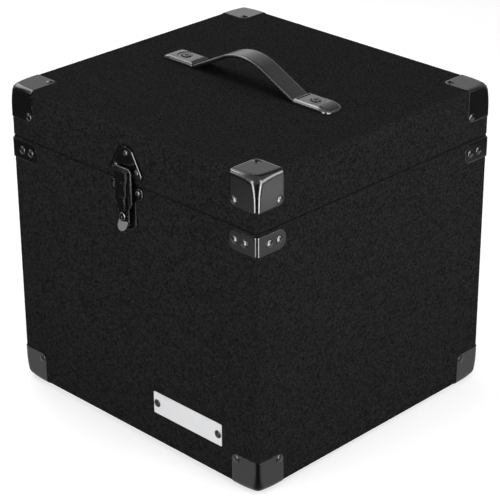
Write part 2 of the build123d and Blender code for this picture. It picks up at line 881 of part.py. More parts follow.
def strap_line(out, end):
    """One side of the arched strap, a distance out from its middle line, from end to end."""
    crown = strap_crown_radius + out
    foot = strap_foot_radius - out
    crown_end = (crown * crown_sine, crown_centre + crown * crown_cosine)
    foot_start = (foot_x - foot * crown_sine, foot_height + strap_foot_radius - foot * crown_cosine)
    foot_end = (foot_x, foot_height + out)
    ThreePointArc((-crown_end[0], crown_end[1]), (0, crown_centre + crown), crown_end)
    for hand in (-1, 1):
        Line((hand * crown_end[0], crown_end[1]), (hand * foot_start[0], foot_start[1]))
        TangentArc(
            (hand * foot_start[0], foot_start[1]),
            (hand * foot_end[0], foot_end[1]),
            tangent=(hand * crown_cosine, -crown_sine),
        )
        Line((hand * foot_end[0], foot_end[1]), (hand * end, foot_end[1]))


def strap_section(thickness, end):
    """The closed side view of a strip that follows the strap."""
    with BuildSketch(handle_side) as section:
        with BuildLine():
            strap_line(thickness / 2, end)
            strap_line(-thickness / 2, end)
            for hand in (-1, 1):
                Line(
                    (hand * end, foot_height + thickness / 2),
                    (hand * end, foot_height - thickness / 2),
                )
        make_face()
    return section.sketch


strap_side_view = strap_section(strap_thickness, strap_end)
core_side_view = strap_section(core_thickness, core_end)
core_room = strap_section(core_thickness + 2 * core_clearance, core_end + core_clearance)
strap_room = strap_section(strap_thickness + 2 * cap_clearance, strap_end + cap_clearance)

with BuildPart() as handle_strap:
    extrude(strap_side_view, amount=strap_width / 2, both=True)
    strap_sides = handle_strap.faces().sort_by(Axis.Y)
    fillet(strap_sides[0].edges() + strap_sides[-1].edges(), strap_edge_radius)
    extrude(core_room, amount=core_width / 2 + core_clearance, both=True, mode=Mode.SUBTRACT)
    with BuildSketch(lid_face):
        with Locations((-screw_x, 0), (screw_x, 0)):
            SlotOverall(strap_slot_length, 2 * (screw_radius + screw_hole_clearance))
    extrude(amount=strap_rise, mode=Mode.SUBTRACT)
finish(handle_strap.part, "handle_strap")

with BuildPart() as handle_core:
    extrude(core_side_view, amount=core_width / 2, both=True)
    with BuildSketch(lid_face):
        with Locations((-screw_x, 0), (screw_x, 0)):
            SlotOverall(strap_slot_length, 2 * (screw_radius + screw_hole_clearance))
    extrude(amount=strap_rise, mode=Mode.SUBTRACT)
finish(handle_core.part, "handle_core")


def make_cap(name, hand):
    """A moulded end cap over one end of the strap, with a dished top and a sloping nose."""
    with BuildPart() as cap:
        with BuildSketch(handle_side) as outline:
            with BuildLine():
                Polyline(
                    (hand * cap_end, cap_nose_height),
                    (hand * cap_end, 0),
                    (hand * cap_mouth, 0),
                    (hand * cap_mouth, cap_height),
                    (hand * cap_slope_start, cap_height),
                )
                TangentArc(
                    (hand * cap_slope_start, cap_height),
                    (hand * cap_end, cap_nose_height),
                    tangent=(hand, 0),
                )
            make_face()
        extrude(amount=cap_width / 2, both=True)
        nose = cap.edges().filter_by(Axis.Z).sort_by(Axis.X)
        fillet(nose[-2:] if hand > 0 else nose[:2], cap_corner_radius)
        upper = cap.edges().filter_by(Axis.X).group_by(Axis.Z)[-1]
        fillet(upper, cap_edge_radius)
        middle = hand * (cap_recess_start + cap_recess_end) / 2
        with BuildSketch(lid_face.offset(cap_height)):
            with Locations((middle, 0)):
                RectangleRounded(cap_recess_end - cap_recess_start, cap_recess_width, cap_recess_radius)
        extrude(amount=-cap_recess_depth, mode=Mode.SUBTRACT)
        extrude(strap_room, amount=strap_width / 2 + cap_clearance, both=True, mode=Mode.SUBTRACT)
        pierce(screw_sites, screw_radius + screw_hole_clearance)
    finish(cap.part, name)


make_cap("handle_cap_left", -1)
make_cap("handle_cap_right", 1)

# Machine screws through the caps into flanged nuts under the lid board

screw_seat = cap_height - cap_recess_depth
screw_end = wall_thickness + nut_flange_thickness

with BuildPart() as screw:
    with BuildSketch(Plane.XY.offset(screw_seat)):
        Circle(screw_head_radius)
    extrude(amount=screw_head_height)
    fillet(screw.edges().sort_by(Axis.Z)[-1], screw_head_edge)
    with BuildSketch(Plane.XY.offset(screw_seat + screw_head_height)):
        Rectangle(screw_slot_length, screw_slot_width)
        Rectangle(screw_slot_width, screw_slot_length)
    extrude(amount=-screw_slot_depth, mode=Mode.SUBTRACT)
    with BuildSketch(Plane.XY.offset(-screw_end)):
        Circle(screw_radius)
    extrude(amount=screw_end + screw_seat)

with BuildPart() as handle_screws:
    with Locations(*screw_sites):
        add(screw.part)
finish(handle_screws.part, "handle_screws")

with BuildPart() as flanged_nut:
    with BuildSketch(Plane.XY.offset(-wall_thickness)):
        Circle(nut_flange_radius)
    extrude(amount=-nut_flange_thickness)
    with BuildSketch(Plane.XY.offset(-wall_thickness)):
        Circle(nut_barrel_radius)
    extrude(amount=nut_barrel_length)
    with BuildSketch(Plane.XY.offset(-screw_end)):
        Circle(screw_radius + pin_clearance)
    extrude(amount=2 * wall_thickness, mode=Mode.SUBTRACT)

with BuildPart() as handle_nuts:
    with Locations(*screw_sites):
        add(flanged_nut.part)
finish(handle_nuts.part, "handle_nuts")
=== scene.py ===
import math

import bmesh
import bpy
import numpy as np
from mathutils import Matrix, Vector, noise


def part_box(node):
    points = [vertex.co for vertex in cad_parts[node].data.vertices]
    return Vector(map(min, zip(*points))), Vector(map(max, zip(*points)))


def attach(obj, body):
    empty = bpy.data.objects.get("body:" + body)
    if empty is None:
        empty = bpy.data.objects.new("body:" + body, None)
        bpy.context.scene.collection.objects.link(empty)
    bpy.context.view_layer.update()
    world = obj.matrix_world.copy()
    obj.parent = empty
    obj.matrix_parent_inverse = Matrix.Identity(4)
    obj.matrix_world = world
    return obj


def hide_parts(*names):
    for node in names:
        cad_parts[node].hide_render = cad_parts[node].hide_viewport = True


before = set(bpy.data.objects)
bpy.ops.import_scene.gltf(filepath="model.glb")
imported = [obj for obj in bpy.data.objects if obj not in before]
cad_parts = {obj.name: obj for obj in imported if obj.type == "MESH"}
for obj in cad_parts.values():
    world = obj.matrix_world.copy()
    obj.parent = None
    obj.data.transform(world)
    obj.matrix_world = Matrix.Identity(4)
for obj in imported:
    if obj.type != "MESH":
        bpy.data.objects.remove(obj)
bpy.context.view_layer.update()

MM = 0.001


# Carpet covering: needle-punched felt, 3 mm thick, glued over the boards of the tub and the lid
# and folded in over their rims. It rounds over every edge, more so under the pressed corners,
# and its surface is a mat of fibre with small tufts and dips.

class Value:
    """A value in a tree of nodes; sums on it add Math nodes."""

    def __init__(self, nodes, socket):
        self.nodes = nodes
        self.socket = socket

    def __add__(self, other):
        return self.nodes.sum("ADD", self, other)

    def __sub__(self, other):
        return self.nodes.sum("SUBTRACT", self, other)

    def __rsub__(self, other):
        return self.nodes.sum("SUBTRACT", other, self)

    def __mul__(self, other):
        return self.nodes.sum("MULTIPLY", self, other)

    def __abs__(self):
        return self.nodes.sum("ABSOLUTE", self)

    __radd__ = __add__
    __rmul__ = __mul__


class Nodes:
    """A tree of nodes, built up one node at a time."""

    def __init__(self, tree):
        self.tree = tree

    def feed(self, node, values):
        for key, value in values.items():
            if isinstance(value, Value):
                self.tree.links.new(value.socket, node.inputs[key])
            else:
                node.inputs[key].default_value = value

    def node(self, kind, settings=None, values=None, output=0):
        """Adds a node: its settings first, then the values or links of its sockets."""
        made = self.tree.nodes.new(kind)
        for key, value in (settings or {}).items():
            setattr(made, key, value)
        self.feed(made, values or {})
        return Value(self, made.outputs[output])

    def sum(self, operation, first, second=0.0):
        return self.node("ShaderNodeMath", {"operation": operation}, {0: first, 1: second})

    def axes(self, vector):
        """The x, y and z of a vector."""
        return [self.node("ShaderNodeSeparateXYZ", {}, {0: vector}, axis) for axis in range(3)]

    def fade(self, value, start, end):
        """0 up to the start and 1 from the end on, with a smooth step between them."""
        values = {"Value": value, "From Min": start, "From Max": end}
        return self.node("ShaderNodeMapRange", {"interpolation_type": "SMOOTHSTEP"}, values)


class Paint(Nodes):
    """A material round one Principled shader; plain values go on the shader's own sockets."""

    def __init__(self, name, **plain):
        self.material = bpy.data.materials.new(name)
        self.material.use_nodes = True
        super().__init__(self.material.node_tree)
        self.shader = self.tree.nodes["Principled BSDF"]
        self.surface(**plain)

    def surface(self, **fed):
        self.feed(self.shader, {key.replace("_", " "): value for key, value in fed.items()})
        return self.material

    def place(self, stretch=(1, 1, 1)):
        """The object's own coordinates, in metres, stretched per axis."""
        at = self.node("ShaderNodeTexCoord", output="Object")
        return self.node("ShaderNodeMapping", {}, {"Vector": at, "Scale": stretch})

    def grain(self, at, scale, detail=2, roughness=0.5):
        values = {"Vector": at, "Scale": scale, "Detail": detail, "Roughness": roughness}
        return self.node("ShaderNodeTexNoise", {}, values)

    def ramp(self, value, *stops):
        """A colour ramp of greys, through two stops of place and level."""
        made = self.node("ShaderNodeValToRGB", {}, {"Fac": value})
        for element, (place, level) in zip(made.socket.node.color_ramp.elements, stops):
            element.position = place
            element.color = (level, level, level, 1)
        return made

    def tint(self, share, first, second):
        values = {0: share, 6: (*first, 1), 7: (*second, 1)}
        return self.node("ShaderNodeMix", {"data_type": "RGBA"}, values, 2)

    def bump(self, height, distance, strength):
        values = {"Height": height, "Distance": distance, "Strength": strength}
        return self.node("ShaderNodeBump", {}, values)


def make_felt():
    felt = Paint("needled_felt", Specular_IOR_Level=0.0, Roughness=1.0)
    at = felt.place()
    tufts = felt.grain(at, 420, 2, 0.55)
    knots = felt.grain(at, 800, 2, 0.6)
    fibres = felt.grain(at, 1900, 2, 0.7)
    patches = felt.grain(at, 60, 3, 0.55)
    mat = tufts * 0.5 + knots * 0.28 + fibres * 0.17 + patches * 0.05
    light = felt.ramp(mat, (0.40, 0.0), (0.60, 1.0))
    height = tufts * 0.6 + knots * 0.3 + fibres * 0.1
    return felt.surface(
        Base_Color=felt.tint(light, (0.0065, 0.0065, 0.0067), (0.0215, 0.0215, 0.0220)),
        Normal=felt.bump(height, 1.0 * MM, 0.8),
    )


felt = make_felt()
carpet_edge = 4.8 * MM
carpet_vertex = 9.5 * MM
carpet_rim = 1.8 * MM
vertex_reach = 16.0 * MM
carpet_depth = 3.0 * MM
wall_depth = 12.0 * MM
fold_depth = 1.5 * MM
tuft_size = 4.2 * MM
fibre_size = 1.9 * MM
tuft_height = 0.09 * MM
tuft_mean = 1.2
surface_reach = 2.0 * MM


def rounded(across, along, radius):
    """Signed distance to two walls that meet in a rounded edge."""
    outside = np.hypot(np.maximum(across + radius, 0), np.maximum(along + radius, 0))
    return outside - radius + np.minimum(np.maximum(across, along) + radius, 0)


def settle(points, distance, turns=14):
    """Moves points onto the surface where distance is nought, along its slope."""
    step = 1e-5
    for _ in range(turns):
        here = distance(points)
        slope = np.empty_like(points)
        for axis in range(3):
            nudge = np.zeros(3)
            nudge[axis] = step
            slope[:, axis] = (distance(points + nudge) - distance(points - nudge)) / (2 * step)
        size = np.maximum((slope**2).sum(1), 1e-6)
        points = points - slope * (here / size)[:, None]
    return points


def band_faces(start, rows, count):
    """Faces between closed rings of points, one ring after another."""
    return [
        (start + row * count + i, start + row * count + (i + 1) % count,
         start + (row + 1) * count + (i + 1) % count, start + (row + 1) * count + i)
        for row in range(rows) for i in range(count)
    ]


def grid_faces(start, columns, rows):
    """Faces of a sheet whose points run column by column."""
    corners = [start + i * (rows + 1) + j for i in range(columns) for j in range(rows)]
    return [(a, a + rows + 1, a + rows + 2, a + 1) for a in corners]


def plain_object(name, points, faces, material, smooth=True):
    """A mesh object at the origin, with its doubles merged and its faces turned outwards."""
    mesh = bpy.data.meshes.new(name)
    mesh.from_pydata([tuple(p) for p in points], [], faces)
    work = bmesh.new()
    work.from_mesh(mesh)
    bmesh.ops.remove_doubles(work, verts=work.verts, dist=1e-6)
    bmesh.ops.recalc_face_normals(work, faces=work.faces)
    work.to_mesh(mesh)
    work.free()
    mesh.materials.append(material)
    mesh.polygons.foreach_set("use_smooth", [smooth] * len(mesh.polygons))
    made = bpy.data.objects.new(name, mesh)
    bpy.context.scene.collection.objects.link(made)
    return made


def stand_in(made, node, body):
    """Sets a piece on its body, in place of its CAD piece."""
    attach(made, body)
    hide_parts(node)


def cover(name, node, body, rim_z, end_z, pitch):
    """A five-sided cover over the boards, closed inside against them."""
    low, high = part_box(node)
    half = np.array([(high.x - low.x) / 2, (high.y - low.y) / 2])
    inwards = 1 if end_z > rim_z else -1
    columns_x = round(2 * half[0] / pitch)
    columns_y = round(2 * half[1] / pitch)
    across = np.linspace(-1, 1, columns_x + 1)
    along = np.linspace(-1, 1, columns_y + 1)
    loop = [(u, -1) for u in across[:-1]] + [(1, v) for v in along[:-1]]
    loop += [(u, 1) for u in across[:0:-1]] + [(-1, v) for v in along[:0:-1]]
    loop = np.array(loop)
    rows = [(0, z) for z in np.linspace(end_z, rim_z, round(abs(end_z - rim_z) / pitch) + 1)]
    rows += [(inset, rim_z) for inset in np.linspace(0, wall_depth, 7)[1:]]
    outer_rows = len(rows)
    board_rim = rim_z + inwards * fold_depth
    board_end = end_z - inwards * carpet_depth
    rows += [(wall_depth, board_rim), (carpet_depth, board_rim), (carpet_depth, board_end)]
    points = [np.column_stack([loop * (half - inset), np.full(len(loop), z)]) for inset, z in rows]
    count = len(loop)
    faces = band_faces(0, len(rows) - 1, count)
    faces.append(tuple((len(rows) - 1) * count + i for i in range(count)))
    start = len(rows) * count
    plate = np.array([(u * half[0], v * half[1], end_z) for v in along for u in across])
    faces += grid_faces(start, columns_y, columns_x)
    points = np.vstack(points + [plate])

    def distance(p):
        a = np.abs(p[:, 0]) - half[0]
        b = np.abs(p[:, 1]) - half[1]
        end = (p[:, 2] - end_z) * inwards
        rim = (rim_z - p[:, 2]) * inwards
        reach = np.exp(-((a**2 + b**2 + end**2) / vertex_reach**2))
        radius = carpet_edge + (carpet_vertex - carpet_edge) * reach
        wall = rounded(a, b, radius)
        body_side = rounded(wall, end, radius)
        rim_side = rounded(wall, rim, carpet_rim)
        return np.where(end > -abs(end_z - rim_z) / 2, body_side, rim_side)

    shown = np.ones(len(points), bool)
    shown[outer_rows * count:start] = False
    points[shown] = settle(points[shown], distance)
    tuft = np.array([noise.noise(p / tuft_size) + 0.5 * noise.noise(p / fibre_size)
                     for p in map(Vector, points[shown])])
    x, y, z = points[shown].T
    slope = np.column_stack([
        np.where(half[0] - np.abs(x) < surface_reach, np.sign(x), 0),
        np.where(half[1] - np.abs(y) < surface_reach, np.sign(y), 0),
        np.where(np.abs(z - end_z) < surface_reach, inwards, 0),
    ])
    length = np.maximum(np.linalg.norm(slope, axis=1), 1)
    points[shown] -= slope / length[:, None] * (tuft_height * (tuft_mean + tuft))[:, None]
    stand_in(plain_object(name, points, faces, felt), node, body)


tub_low, tub_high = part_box("tub_carpet")
lid_low, lid_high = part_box("lid_carpet")
cover("tub_covering", "tub_carpet", "tub", tub_high.z, tub_low.z, 2.5 * MM)
cover("lid_covering", "lid_carpet", "lid", lid_low.z, lid_high.z, 1.75 * MM)


# Boards: 9 mm plywood, stained black before the carpet was glued on, bare inside the case.
# The stain leaves the grain of the face veneer showing.

def make_ply():
    ply = Paint("stained_plywood", Specular_IOR_Level=0.35)
    along = ply.place((1, 14, 14))
    figure = ply.grain(along, 26, 5, 0.62)
    pores = ply.grain(ply.place((1, 30, 30)), 120, 2, 0.5)
    light = ply.ramp(figure * 0.7 + pores * 0.3, (0.35, 0.0), (0.68, 1.0))
    return ply.surface(
        Base_Color=ply.tint(light, (0.016, 0.0145, 0.013), (0.056, 0.050, 0.045)),
        Roughness=ply.ramp(pores, (0.3, 0.62), (0.7, 0.82)),
        Normal=ply.bump(pores, 0.15 * MM, 0.5),
    )


ply = make_ply()


def finish_node(node, material):
    """A CAD piece shown as it is, in one finish."""
    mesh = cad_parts[node].data
    mesh.materials.clear()
    mesh.materials.append(material)


for board in ("front", "back", "left", "right"):
    finish_node(f"tub_{board}_panel", ply)
    finish_node(f"lid_{board}_panel", ply)
finish_node("tub_bottom_panel", ply)
finish_node("lid_top_panel", ply)


# Pressed corners: three-way corners drawn from 1.2 mm sheet steel, enamelled semi-gloss black and
# riveted on. Their folds are tight and swell into a ball where the three walls meet; the tips are
# rounded.

def make_enamel(name, level, roughness, orange_peel):
    enamel = Paint(name, IOR=1.5)
    at = enamel.place()
    peel = enamel.grain(at, 260, 2, 0.5)
    wear = enamel.grain(at, 40, 4, 0.6)
    return enamel.surface(
        Base_Color=enamel.tint(wear, (level * 0.8,) * 3, (level * 1.2,) * 3),
        Roughness=enamel.ramp(wear, (0.3, roughness * 0.85), (0.7, roughness * 1.15)),
        Normal=enamel.bump(peel, orange_peel * MM, 0.6),
    )


bracket_enamel = make_enamel("bracket_enamel", 0.004, 0.17, 0.02)
sheet = 1.2 * MM
proud = 0.5 * MM
corner_leg = 36.2 * MM
corner_tip = 7.0 * MM
fold_radius = 5.0 * MM
ball_radius = 10.5 * MM
ball_reach = 14.0 * MM
cut_edge = 0.08 * MM


def square_to_tip(x, y, end_x, end_y, tip):
    """Draws the far corner of a rectangle in to a quarter circle."""
    p = np.clip((x - (end_x - tip)) / tip, 0, 1)
    q = np.clip((y - (end_y - tip)) / tip, 0, 1)
    inside = (p > 0) & (q > 0)
    new_x = np.where(inside, end_x - tip + tip * p * np.sqrt(1 - q**2 / 2), x)
    new_y = np.where(inside, end_y - tip + tip * q * np.sqrt(1 - p**2 / 2), y)
    return new_x, new_y


def bake(made):
    """Makes the evaluated object a plain mesh, with its modifiers gone."""
    graph = bpy.context.evaluated_depsgraph_get()
    mesh = bpy.data.meshes.new_from_object(made.evaluated_get(graph))
    made.modifiers.clear()
    old = made.data
    made.data = mesh
    bpy.data.meshes.remove(old)
    mesh.name = made.name


def shade(made, corner):
    """Smooth in the light, with sharp edges where faces turn by more than corner degrees."""
    made.data.polygons.foreach_set("use_smooth", [True] * len(made.data.polygons))
    made.data.set_sharp_from_angle(angle=math.radians(corner))


def pressing(name, points, faces, sides):
    """A sheet of enamelled steel: its thickness goes inwards and its cut edges are eased."""
    made = plain_object(name, points, faces, bracket_enamel)
    away = Vector(sides) * -1
    if sum(p.normal.dot(away) for p in made.data.polygons) < 0:
        made.data.flip_normals()
    solid = made.modifiers.new("thickness", "SOLIDIFY")
    solid.thickness = sheet
    solid.offset = -1
    solid.use_even_offset = True
    ease = made.modifiers.new("eased", "BEVEL")
    ease.width = cut_edge
    ease.segments = 2
    ease.limit_method = "ANGLE"
    ease.angle_limit = math.radians(50)
    bake(made)
    return made


def pressed_corner(name, node, body, corner, sides):
    """One three-way corner: corner is the case's own corner, sides the way into the case."""
    cells = 26
    start = -proud
    places = start + np.linspace(0, 1, cells + 1) ** 1.15 * (corner_leg - start)
    u, v = np.meshgrid(places, places, indexing="ij")
    u, v = square_to_tip(u, v, corner_leg, corner_leg, corner_tip)
    flat = np.full(u.size, start)
    u, v = u.ravel(), v.ravel()
    points = np.vstack([
        np.column_stack([u, v, flat]),
        np.column_stack([v, flat, u]),
        np.column_stack([flat, u, v]),
    ])
    faces = sum((grid_faces(leg * u.size, cells, cells) for leg in range(3)), [])

    def distance(p):
        depth = start - p
        reach = np.exp(-((p - start) ** 2).sum(1) / ball_reach**2)
        radius = (fold_radius + (ball_radius - fold_radius) * reach)[:, None]
        outside = np.linalg.norm(np.maximum(depth + radius, 0), axis=1)
        return outside - radius[:, 0] + np.minimum(depth.max(1) + radius[:, 0], 0)

    points = settle(points, distance) * np.array(sides) + np.array(corner)
    stand_in(pressing(name, points, faces, sides), node, body)


quarters = {
    "front_left": (-1, -1),
    "front_right": (1, -1),
    "back_left": (-1, 1),
    "back_right": (1, 1),
}
for quarter, (side, depth) in quarters.items():
    corner_x = side * tub_high.x
    corner_y = depth * tub_high.y
    pressed_corner(f"tub_corner_pressing_{quarter}", f"tub_corner_{quarter}", "tub",
                   (corner_x, corner_y, tub_low.z), (-side, -depth, 1))
    pressed_corner(f"lid_corner_pressing_{quarter}", f"lid_corner_{quarter}", "lid",
                   (corner_x, corner_y, lid_high.z), (-side, -depth, -1))


# Edge braces: strips of the same enamelled steel, folded round the tub's upright edges just
# under the lid, with rounded ends and two rivets in each leg.

brace_leg = 39.0 * MM
brace_tip = 9.0 * MM
brace_fold = 3.6 * MM


def folded_brace(name, node, corner, sides):
    """One right-angled brace round an upright edge."""
    low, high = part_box(node)
    height = high.z - low.z
    rows = 16
    columns = 22
    up = np.linspace(0, 1, rows + 1)
    out = np.linspace(0, 1, columns + 1) ** 1.2
    reach, level = np.meshgrid(-proud + out * (brace_leg + proud), up * height, indexing="ij")
    middle = height / 2
    tip_reach, above = square_to_tip(reach, np.abs(level - middle), brace_leg, middle, brace_tip)
    level = middle + np.sign(level - middle) * above
    reach, level = tip_reach.ravel(), level.ravel()
    flat = np.full(reach.size, -proud)
    points = np.vstack([np.column_stack([reach, flat, level]), np.column_stack([flat, reach, level])])
    faces = sum((grid_faces(leg * reach.size, columns, rows) for leg in range(2)), [])

    def distance(p):
        return rounded(-proud - p[:, 0], -proud - p[:, 1], brace_fold)

    points = settle(points, distance) * np.array((*sides, 1)) + np.array((*corner, low.z))
    stand_in(pressing(name, points, faces, (*sides, 0)), node, "tub")


for quarter, (side, depth) in quarters.items():
    folded_brace(f"edge_brace_strip_{quarter}", f"edge_brace_{quarter}",
                 (side * tub_high.x, depth * tub_high.y), (-side, -depth))


# Rivets: steel rivets enamelled gloss black, each with a head like a low cone, rounded at its tip
# and its rim, a shank through the wall and a tail set flat inside the case.

def island_boxes(node):
    """The lowest and highest corners of each separate solid in a CAD piece."""
    work = bmesh.new()
    work.from_mesh(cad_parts[node].data)
    bmesh.ops.remove_doubles(work, verts=work.verts, dist=1e-6)
    left = set(work.verts)
    boxes = []
    while left:
        edge = [left.pop()]
        found = []
        while edge:
            vertex = edge.pop()
            found.append(tuple(vertex.co))
            for link in vertex.link_edges:
                other = link.other_vert(vertex)
                if other in left:
                    left.remove(other)
                    edge.append(other)
        places = np.array(found)
        boxes.append((places.min(0), places.max(0)))
    work.free()
    return sorted(boxes, key=lambda pair: tuple(np.round(pair[0], 5)))


def fixings(node, head_height):
    """For each fixing: its place at the seat of the head, the way it points, and its length."""
    middle = np.array((0, 0, (tub_low.z + lid_high.z) / 2))
    found = []
    for low, high in island_boxes(node):
        size = high - low
        axis = int(size.argmax())
        way = np.zeros(3)
        way[axis] = 1 if (low + high)[axis] / 2 > middle[axis] else -1
        place = (low + high) / 2 + way * (size[axis] / 2 - head_height)
        found.append((place, way, size[axis] - head_height))
    return found


def rivet_profile(radius, height, length):
    """Half the section of a rivet, as radius and height over its seat, from top to tail."""
    cone_share = 0.6
    tip = 0.2
    slant = 0.82
    shank = 2.0 * MM
    tail = 3.0 * MM
    tail_height = 1.4 * MM
    dome = []
    for out in (0, 0.05, 0.1, 0.16, 0.23, 0.3, 0.37, 0.45, 0.54, 0.64, 0.74, 0.83, 0.9, 0.95, 0.985):
        cone = 1 - (math.hypot(out, tip) - tip) / slant
        rim = math.sqrt(1 - out**6)
        dome.append((out * radius, height * ((1 - cone_share) * rim + cone_share * cone)))
    dome.append((radius, 0.02 * height))
    return dome + [(0.97 * radius, -0.02 * MM), (shank, 0), (shank, tail_height - length),
                   (0.9 * tail, tail_height - length), (tail, 0.8 * tail_height - length),
                   (tail, 0.2 * tail_height - length), (0.9 * tail, -length), (0, -length)]


def make_lathe_tree():
    """Turns a profile into a solid and sets one at every point, facing along 'outwards'."""
    tree = bpy.data.node_groups.new("set_rivets", "GeometryNodeTree")
    tree.interface.new_socket("Geometry", in_out="OUTPUT", socket_type="NodeSocketGeometry")
    for name, kind in (("Geometry", "Geometry"), ("Profile", "Object"), ("Rows", "Int"),
                       ("Around", "Int"), ("Finish", "Material")):
        tree.interface.new_socket(name, in_out="INPUT", socket_type=f"NodeSocket{kind}")
    lathe = Nodes(tree)
    node = lathe.node
    inputs = tree.nodes.new("NodeGroupInput").outputs
    given = {socket.name: Value(lathe, socket) for socket in inputs if socket.name}
    place = node("GeometryNodeInputPosition")
    profile = node("GeometryNodeObjectInfo", {}, {"Object": given["Profile"]}, "Geometry")
    grid = node("GeometryNodeMeshGrid", {}, {
        "Size X": 1.0, "Size Y": 1.0,
        "Vertices X": given["Around"], "Vertices Y": given["Rows"],
    }, "Mesh")
    across, along, _ = lathe.axes(place)
    turn = (across + 0.5) * (2 * math.pi)
    row = (along + 0.5) * (given["Rows"] - 1.0)
    row = lathe.sum("ROUND", row)
    sample = node("GeometryNodeSampleIndex", {"data_type": "FLOAT_VECTOR"},
                  {0: profile, 1: place, "Index": row})
    radius, _, height = lathe.axes(sample)
    turned = node("ShaderNodeCombineXYZ", {}, {
        0: radius * lathe.sum("COSINE", turn), 1: radius * lathe.sum("SINE", turn), 2: height,
    })
    solid = node("GeometryNodeSetPosition", {}, {"Geometry": grid, "Position": turned})
    solid = node("GeometryNodeMergeByDistance", {}, {"Geometry": solid, "Distance": 1e-6})
    outwards = node("GeometryNodeInputNamedAttribute", {"data_type": "FLOAT_VECTOR"},
                    {"Name": "outwards"})
    facing = node("FunctionNodeAlignRotationToVector", {"axis": "Z"}, {"Vector": outwards})
    points = node("GeometryNodeMeshToPoints", {}, {"Mesh": given["Geometry"]})
    placed = node("GeometryNodeInstanceOnPoints", {},
                  {"Points": points, "Instance": solid, "Rotation": facing})
    whole = node("GeometryNodeRealizeInstances", {}, {"Geometry": placed})
    whole = node("GeometryNodeSetMaterial", {}, {"Geometry": whole, "Material": given["Finish"]})
    tree.links.new(whole.socket, tree.nodes.new("NodeGroupOutput").inputs[0])
    return tree


rivet_tree = make_lathe_tree()
rivet_sockets = {item.name: item.identifier for item in rivet_tree.interface.items_tree}
rivet_enamel = make_enamel("rivet_enamel", 0.005, 0.20, 0.005)


def rivets(name, node, body, radius, height):
    """All the rivets of one CAD piece, turned from one profile, as one plain mesh."""
    found = fixings(node, height)
    profile = rivet_profile(radius, height, found[0][2])
    line = bpy.data.meshes.new("profile")
    line.from_pydata([(r, 0, z) for r, z in profile], [], [])
    pattern = bpy.data.objects.new("profile", line)
    bpy.context.scene.collection.objects.link(pattern)
    mesh = bpy.data.meshes.new(name)
    mesh.from_pydata([tuple(place) for place, way, length in found], [], [])
    ways = mesh.attributes.new("outwards", "FLOAT_VECTOR", "POINT")
    ways.data.foreach_set("vector", np.array([way for place, way, length in found]).ravel())
    made = bpy.data.objects.new(name, mesh)
    bpy.context.scene.collection.objects.link(made)
    setter = made.modifiers.new("set_rivets", "NODES")
    setter.node_group = rivet_tree
    given = {"Profile": pattern, "Rows": len(profile), "Around": 29, "Finish": rivet_enamel}
    for key, value in given.items():
        setter[rivet_sockets[key]] = value
    bake(made)
    bpy.data.objects.remove(pattern)
    work = bmesh.new()
    work.from_mesh(made.data)
    bmesh.ops.recalc_face_normals(work, faces=work.faces)
    work.to_mesh(made.data)
    work.free()
    shade(made, 50)
    stand_in(made, node, body)


case_rivet = (4.6 * MM, 2.0 * MM)
latch_rivet = (3.5 * MM, 1.8 * MM)
rivets("tub_corner_rivet_set", "tub_corner_rivets", "tub", *case_rivet)
rivets("underside_rivet_set", "underside_rivets", "tub", *case_rivet)
rivets("lid_corner_rivet_set", "lid_corner_rivets", "lid", *case_rivet)
rivets("edge_brace_rivet_set", "edge_brace_rivets", "tub", *case_rivet)
rivets("hinge_tub_rivet_set", "hinge_tub_rivets", "tub", *case_rivet)
rivets("hinge_lid_rivet_set", "hinge_lid_rivets", "lid", *case_rivet)
rivets("name_plate_rivet_set", "name_plate_rivets", "tub", *case_rivet)
rivets("strike_rivet_set", "strike_rivets", "lid", *latch_rivet)
rivets("latch_wing_rivet_set", "latch_wing_rivets", "tub", *latch_rivet)
rivets("latch_tail_rivet_set", "latch_tail_rivet", "tub", *latch_rivet)


# Hinges: two riveted butt hinges on the back, their leaves enamelled like the corners and rolled
# round zinc-plated steel pins.

def dressed(name, node, body, finish, ease, corner=35, flat=True):
    """A CAD piece with its edges eased, where they turn by more than corner degrees.

    Its flat faces stay flat in the light, unless flat is False.
    """
    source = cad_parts[node].data
    made = bpy.data.objects.new(name, source.copy())
    bpy.context.scene.collection.objects.link(made)
    work = bmesh.new()
    work.from_mesh(made.data)
    bmesh.ops.remove_doubles(work, verts=work.verts, dist=2e-6)
    bmesh.ops.dissolve_limit(work, angle_limit=math.radians(0.6), verts=work.verts,
                             edges=work.edges, delimit={"NORMAL"})
    work.to_mesh(made.data)
    work.free()
    made.data.materials.clear()
    made.data.materials.append(finish)
    eased = made.modifiers.new("eased", "BEVEL")
    eased.width = ease * MM
    eased.segments = 3
    eased.limit_method = "ANGLE"
    eased.angle_limit = math.radians(corner)
    eased.miter_outer = "MITER_ARC"
    eased.use_clamp_overlap = True
    bake(made)
    shade(made, 38)
    if flat:
        even = made.modifiers.new("flat_faces", "WEIGHTED_NORMAL")
        even.keep_sharp = True
        bake(made)
    stand_in(made, node, body)


for hand in ("left", "right"):
    for body in ("tub", "lid"):
        leaf = f"hinge_{hand}_{body}_leaf"
        dressed(f"{leaf}_eased", leaf, body, bracket_enamel, 0.25)


def make_steel(name, tone, roughness):
    steel = Paint(name, Metallic=1.0)
    at = steel.place()
    spangle = steel.grain(at, 300, 3, 0.6)
    return steel.surface(
        Base_Color=steel.tint(spangle, (tone * 0.9,) * 3, (tone * 1.05,) * 3),
        Roughness=steel.ramp(spangle, (0.3, roughness * 0.8), (0.7, roughness * 1.2)),
    )


zinc = make_steel("zinc_plated_steel", 0.45, 0.34)
for hand in ("left", "right"):
    finish_node(f"hinge_{hand}_pin", zinc)


# Draw latch: a strike riveted to the lid, a base plate riveted to the tub, and a stepped lever
# that pivots on a short link. The plates and the lever are steel, enamelled gloss black; the link
# and the pins are zinc-plated.

